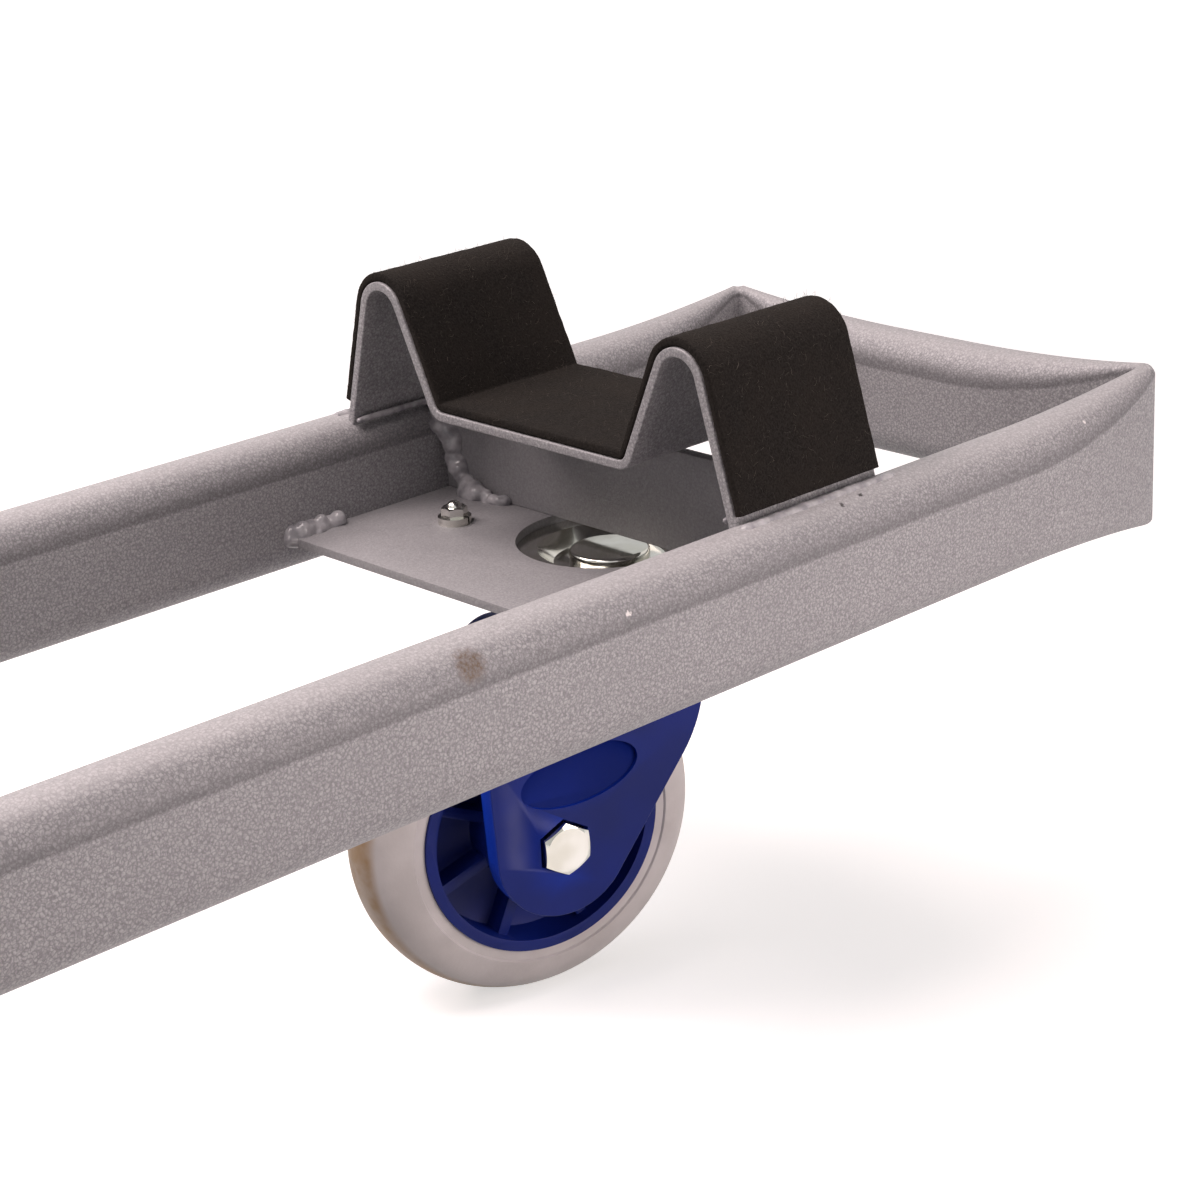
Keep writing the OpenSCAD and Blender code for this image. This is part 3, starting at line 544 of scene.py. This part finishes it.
def fuzz_tree(fibre_material):
    """Geometry Nodes: short curled fibres over the outside of a felt strip. A fibre is drawn one metre long
    and scaled to its real length."""
    tree = bpy.data.node_groups.new("felt_fuzz", "GeometryNodeTree")
    any_way, shortest, longest, thickness = 3.14, 0.5, 1.7, 0.022
    tree.interface.new_socket("Geometry", in_out="INPUT", socket_type="NodeSocketGeometry")
    for name, kind in (("Per square metre", "Float"), ("Seed", "Int"), ("Fibre", "Float")):
        tree.interface.new_socket(name, in_out="INPUT", socket_type="NodeSocket" + kind)
    tree.interface.new_socket("Geometry", in_out="OUTPUT", socket_type="NodeSocketGeometry")
    given = add(tree, "NodeGroupInput").outputs
    seed = given["Seed"]
    outside = add(tree, "GeometryNodeInputNamedAttribute", {"Name": "outside"}, data_type="FLOAT").outputs[0]
    roots = add(tree, "GeometryNodeDistributePointsOnFaces", {
        "Mesh": given["Geometry"], "Density": product(tree, given["Per square metre"], outside),
        "Seed": seed}).outputs["Points"]
    curl = add(tree, "GeometryNodeCurveQuadraticBezier", {
        "Resolution": 3, "Start": (0, 0, 0), "Middle": (0.1, 0.35, 0.25), "End": (0.9, 0.3, 0.3)}).outputs[0]
    profile = add(tree, "GeometryNodeCurvePrimitiveCircle", {"Resolution": 3, "Radius": thickness}).outputs[0]
    strand = add(tree, "GeometryNodeCurveToMesh", {"Curve": curl, "Profile Curve": profile}).outputs[0]
    facing = add(tree, "FunctionNodeRandomValue", {0: (-any_way,) * 3, 1: (any_way,) * 3, "Seed": seed},
                 data_type="FLOAT_VECTOR").outputs[0]
    spread = add(tree, "FunctionNodeRandomValue", {2: shortest, 3: longest, "Seed": seed},
                 data_type="FLOAT").outputs[1]
    laid = add(tree, "GeometryNodeInstanceOnPoints", {
        "Points": roots, "Instance": strand, "Rotation": facing,
        "Scale": product(tree, spread, given["Fibre"])}).outputs[0]
    real = add(tree, "GeometryNodeRealizeInstances", {0: laid}).outputs[0]
    dressed = add(tree, "GeometryNodeSetMaterial", {"Geometry": real, "Material": fibre_material}).outputs[0]
    add(tree, "NodeGroupOutput", {"Geometry": dressed})
    return tree


def felt_fuzz(felt, tree, seed):
    """The fibres on one lining, as a plain mesh of their own."""
    settings = {"Per square metre": 200000.0, "Seed": seed, "Fibre": 1.5 * MM}
    made = bpy.data.objects.new(felt.name.replace("lining", "fuzz"), felt.data.copy())
    bpy.context.scene.collection.objects.link(made)
    grown = made.modifiers.new("fuzz", "NODES")
    grown.node_group = tree
    for item in tree.interface.items_tree:
        if item.in_out == "INPUT" and item.name in settings:
            grown[item.identifier] = settings[item.name]
    bpy.context.view_layer.update()
    mesh = bpy.data.meshes.new_from_object(made.evaluated_get(bpy.context.evaluated_depsgraph_get()))
    made.modifiers.remove(grown)
    made.data = mesh
    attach(made, "frame")
    return made


FOOT_NEAR, FOOT_FAR = RAIL_TOP + 1.2 * MM, RAIL_TOP + 5.5 * MM
felt_black = needle_felt()
fuzz = fuzz_tree(loose_fibre())
noise.seed_set(UNEVEN_SEED)
for seed, place in ((3, "front"), (4, "rear")):
    low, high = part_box("felt_" + place)
    offset = SADDLE_T / 2 + GLUE
    felt = strip_piece("felt_lining_" + place, SADDLE_X[place], high.x - low.x, offset, offset + FELT_T,
                       0.9 * MM, FOOT_NEAR, FOOT_FAR, felt_black, "frame",
                       ("felt_" + place,), rough=0.16 * MM)
    line = [p for p, out in saddle_line(FOOT_NEAR, FOOT_FAR, offset + FELT_T / 2)]
    fluff = felt_fuzz(felt, fuzz, seed)

# Fasteners, top plates and kingpins are steel with a bright zinc plate. The balls, bearings, sleeves and
# axle are ground steel and the kingpin bushes bronze. All of these keep their CAD shapes.


def bright_zinc():
    """Bright zinc: nearly a mirror, a little cloudy, with a faint yellow cast."""
    made, tree, shader, place = cloudy("bright_zinc", 7 * MM, 2, "#DDDCD7", "#CCCAC0", Metallic=1.0)
    tree.links.new(grainy(tree, place, 4 * MM, 2, 0.09, 0.17), shader.inputs["Roughness"])
    return made


def ground_steel():
    """Ground steel: grey, with faint clouds."""
    return cloudy("ground_steel", 3 * MM, 3, "#8E9092", "#A9ABAC", Metallic=1.0, Roughness=0.3)[0]


def bush_bronze():
    """Sintered bronze: brown-gold, dull with oil."""
    return cloudy("bush_bronze", 1 * MM, 2, "#8F6B3A", "#B08A4E", Metallic=1.0, Roughness=0.45)[0]


finishes = {"bright_zinc": bright_zinc(), "ground_steel": ground_steel(), "bush_bronze": bush_bronze()}
for subpart in frame["record"]["subparts"]:
    if subpart["material_slot"] in finishes:
        nodes[subpart["node"]].data.materials[0] = finishes[subpart["material_slot"]]

# The forks and the wheels' hubs are moulded in deep blue nylon with a satin skin. Along the axle, a cheek
# ends at CHEEK_OUT; the oval recess and the nose are placed in millimetres behind and above the axle.
# The attribute edge is one where the cheeks' faces turn away from the axle, under the swivel head, and there
# the nylon is painted a lighter blue: a painted highlight.


def blue_nylon():
    """Moulded nylon: deep ultramarine, satin. Its rounded edges are painted a lighter, purer blue: a painted
    highlight.
    """
    made, tree, shader, place = new_material("blue_nylon")
    shader.inputs["Specular IOR Level"].default_value = 0.2
    tone = mixed(tree, grainy(tree, place, 18 * MM, 2), linear("#0B1C62"), linear("#0F2274"))
    # Painted highlight: where the faces turn away from the axle, the blue is painted lighter and purer.
    edge = add(tree, "ShaderNodeAttribute", attribute_name="edge").outputs["Fac"]
    tone = mixed(tree, ranged(tree, edge, 0.1, 0.9, 0, 0.7), tone, linear("#0C38B4"))
    tree.links.new(tone, shader.inputs["Base Color"])
    tree.links.new(grainy(tree, place, 5 * MM, 3, 0.36, 0.46), shader.inputs["Roughness"])
    bumpy(tree, shader, grainy(tree, place, 0.4 * MM, 2), 0.01 * MM)
    return made


CHEEK_OUT = 34.5 * MM
POCKET_R = 14 * MM
OVAL_TILT, OVAL_AT, OVAL_HALF = math.radians(6), (-7.3, 25.5), (24, 11.5)
NOSE_X, NOSE_IN, NEAR_ENOUGH = 27, 1.2 * MM, 0.05
HEAD_UNDER = 0.125
nylon = blue_nylon()
for name in ("hub_front", "hub_rear", "hub_near", "hub_far"):
    eased(name, 0.8 * MM, nylon)
joints = {joint["name"]: joint for joint in frame["joints"]}
for place in ("front", "rear"):
    swivel, spin = joints[place + "_swivel"], joints[place + "_wheel_spin"]
    axle, along = Vector(spin["pos_m"]), Vector(spin["axis"]).normalized()
    back = (axle - Vector(swivel["pos_m"])).to_2d().to_3d().normalized()

    def outline_edge(edge, axle=axle, along=along, back=back):
        """True for the outline of a cheek's outer face, away from its pocket and its oval recess."""
        middle = sum((v.co for v in edge.verts), Vector()) / 2 - axle
        if abs(abs(middle.dot(along)) - CHEEK_OUT) > 0.1 * MM:
            return False
        middle -= middle.dot(along) * along
        oval = Vector((middle.dot(back) / MM - OVAL_AT[0], middle.z / MM - OVAL_AT[1]))
        oval = Matrix.Rotation(OVAL_TILT, 2) @ oval
        return middle.length > POCKET_R and (oval.x / OVAL_HALF[0]) ** 2 + (oval.y / OVAL_HALF[1]) ** 2 > 1

    def even_nose(p, axle=axle, back=back):
        """Brings the foot of the cheek's straight edge in to meet its round end."""
        x, z = (p - axle).dot(back) / MM, (p.z - axle.z) / MM
        return p - NOSE_IN * back if abs(x - NOSE_X) < NEAR_ENOUGH and abs(z) < NEAR_ENOUGH else p

    fork = eased("fork_" + place, 0.6 * MM, nylon, wide=outline_edge, wide_by=3 * MM, shape=even_nose)
    # Where the painted highlight goes: the cheeks' rounded edges below the swivel head.
    edges = [(1 - abs(v.normal.dot(along))) if v.co.z < HEAD_UNDER else 0.0 for v in fork.data.vertices]
    fork.data.attributes.new("edge", "FLOAT", "POINT").data.foreach_set("value", edges)

# The tyres are grey non-marking rubber, moulded onto the hubs. A low step runs round just outside
# the rim, and the crown is rubbed to a tan shade where it has rolled. The attribute crown goes from
# zero at the rim to one on the crown.
WHEEL_R = 65 * MM
RIM_R = 45.6 * MM
TURN_STEPS = 160


def grey_rubber():
    """Moulded rubber: a warm light grey with a soft sheen, tan with dust on the crown."""
    made, tree, shader, place = new_material("grey_rubber", Roughness=0.5)
    crown = add(tree, "ShaderNodeAttribute", attribute_name="crown").outputs["Fac"]
    tone = mixed(tree, grainy(tree, place, 10 * MM, 4), linear("#C6C2C2"), linear("#D4D0D0"))
    worn = product(tree, ranged(tree, crown, 0.80, 0.93), grainy(tree, place, 5 * MM, 4, 0.65, 1.0))
    tone = mixed(tree, worn, tone, linear("#9A7B52"))
    tone = mixed(tree, grainy(tree, place, 16 * MM, 5, 0, 0.10), tone, linear("#8B7C70"))
    tree.links.new(tone, shader.inputs["Base Color"])
    bumpy(tree, shader, grainy(tree, place, 0.7 * MM, 2), 0.02 * MM)
    return made


def lathe(profile, stand):
    """A closed profile of radius and height, turned about Z, then put in place by stand."""
    angles = [2 * math.pi * k / TURN_STEPS for k in range(TURN_STEPS)]
    rings = [[stand @ Vector((r * math.cos(a), r * math.sin(a), h)) for r, h in profile] for a in angles]
    return loft(rings, closed=True)


def tyre_profile():
    """The tyre's outside is a full round on a base. Next to the rim, a ring 4 mm wide lies 0.7 mm lower."""
    base, half, power = 38.6 * MM, 18.9 * MM, 2.45
    ring, lip, reach, arc_steps = 17.2 * MM, 49.7 * MM, 18.3 * MM, 60
    side = []
    for k in range(1, arc_steps):
        y = reach * math.cos(math.pi * k / arc_steps)
        r = base + (WHEEL_R - base) * (1 - (abs(y) / half) ** power) ** (1 / power)
        if r > lip:
            side.append((r, y))
    shelf = [(RIM_R, ring), (lip - 0.4 * MM, ring), (lip - 0.1 * MM, side[0][1] - 0.25 * MM)]
    return shelf + side + [(r, -y) for r, y in reversed(shelf)]


rubber = grey_rubber()
profile = tyre_profile()
crown = [max(0, (r - RIM_R) / (WHEEL_R - RIM_R)) for r, h in profile] * TURN_STEPS
for place in ("front", "rear", "near", "far"):
    spin = joints[place + "_wheel_spin"]
    turned = Vector(spin["axis"]).to_track_quat("Z", "X").to_matrix().to_4x4()
    points, faces = lathe(profile, Matrix.Translation(spin["pos_m"]) @ turned)
    tread = new_piece("tyre_tread_" + place, points, faces, rubber, place + "_wheel",
                      crease=40, stands_for=("tyre_" + place,))
    tread.data.attributes.new("crown", "FLOAT", "POINT").data.foreach_set("value", crown)

# The trolley stands on a plain white floor that runs out of sight, under soft studio lamps. The camera is
# the photograph's: its place, its direction in degrees and its focal length for a 36 mm wide sensor.
EYE = Vector((-216.99, -681.06, 477.79)) * MM
YAW, PITCH, ROLL = 47.498, 20.16, -3.015
FOCAL = 83.59


def studio():
    """The floor, the world, the lamps and the camera. The floor and the world are white to the camera, but
    light the trolley only a little, so that the lamps shape it."""
    scene = bpy.context.scene
    reach, under, target = 12, -0.5 * MM, Vector((0.3, 0, 0.15))
    mesh = bpy.data.meshes.new("studio_floor")
    corners = [(x * reach, y * reach, under) for x, y in ((-1, -1), (1, -1), (1, 1), (-1, 1))]
    mesh.from_pydata(corners, [], [(0, 1, 2, 3)])
    floor = bpy.data.objects.new("studio_floor", mesh)
    scene.collection.objects.link(floor)
    sheet = bpy.data.materials.new("studio_white")
    sheet.use_nodes = True
    tree = sheet.node_tree
    tree.nodes.clear()
    path = add(tree, "ShaderNodeLightPath")
    seen = path.outputs["Is Camera Ray"]
    for kind in ("Is Glossy Ray", "Is Transmission Ray"):
        seen = add(tree, "ShaderNodeMath", {0: seen, 1: path.outputs[kind]}, operation="MAXIMUM").outputs[0]
    place = add(tree, "ShaderNodeTexCoord").outputs["Object"]
    middle = (0.3, 0, 0)
    away = add(tree, "ShaderNodeVectorMath", {0: place, 1: middle}, operation="DISTANCE").outputs["Value"]
    bounce = mixed(tree, seen, (0.3, 0.3, 0.3, 1), (0.8, 0.8, 0.8, 1))
    white = add(tree, "ShaderNodeBsdfDiffuse", {"Color": bounce})
    lift = add(tree, "ShaderNodeEmission", {
        "Strength": product(tree, seen, ranged(tree, away, 0.5, 2.2, 0.55, 1.1))})
    both = add(tree, "ShaderNodeAddShader", {0: white.outputs[0], 1: lift.outputs[0]})
    add(tree, "ShaderNodeOutputMaterial", {"Surface": both.outputs[0]})
    mesh.materials.append(sheet)

    world = bpy.data.worlds.new("studio")
    world.use_nodes = True
    scene.world = world
    tree = world.node_tree
    tree.nodes.clear()
    path = add(tree, "ShaderNodeLightPath")
    to_surfaces, to_camera, in_reflections = 0.03, 1.0, 0.7
    seen = add(tree, "ShaderNodeMapRange", {
        "Value": path.outputs["Is Camera Ray"], "To Min": to_surfaces, "To Max": to_camera})
    level = add(tree, "ShaderNodeMix", {
        0: path.outputs["Is Glossy Ray"], 2: seen.outputs[0], 3: in_reflections})
    sky = add(tree, "ShaderNodeBackground", {"Color": (1, 1, 1, 1), "Strength": level.outputs[0]})
    add(tree, "ShaderNodeOutputWorld", {"Surface": sky.outputs[0]})

    # name, place, size in metres, watts
    for name, at, size, power in (
            ("over_left", (0.0, 0.1, 1.3), 0.8, 11), ("left_up", (-0.3, 0.7, 1.1), 0.6, 8),
            ("high_left", (-0.9, -0.5, 1.5), 1.0, 2), ("back_high", (0.6, 1.2, 1.3), 1.0, 4),
            ("front_near", (0.62, -0.75, 0.3), 0.5, 2.7), ("front_low", (0.4, -0.8, 0.1), 0.5, 1.7),
            ("right_side", (1.5, 0.0, 0.8), 0.8, 0.6)):
        lamp = bpy.data.lights.new(name, "AREA")
        lamp.size = size
        lamp.energy = power
        lamp.color = (1.13, 0.98, 0.95)
        made = bpy.data.objects.new(name, lamp)
        made.location = at
        made.rotation_euler = (target - Vector(at)).to_track_quat("-Z", "Y").to_euler()
        scene.collection.objects.link(made)

    eye = bpy.data.cameras.new("photo_view")
    eye.sensor_width = 36
    eye.lens = FOCAL
    eye.clip_start = 0.02
    eye.clip_end = 50
    made = bpy.data.objects.new("photo_view", eye)
    turn = (Matrix.Rotation(math.radians(YAW - 90), 4, "Z")
            @ Matrix.Rotation(math.radians(90 - PITCH), 4, "X")
            @ Matrix.Rotation(math.radians(ROLL), 4, "Z"))
    made.matrix_world = Matrix.Translation(EYE) @ turn
    scene.collection.objects.link(made)
    scene.camera = made
    scene.view_settings.view_transform = "Standard"


studio()
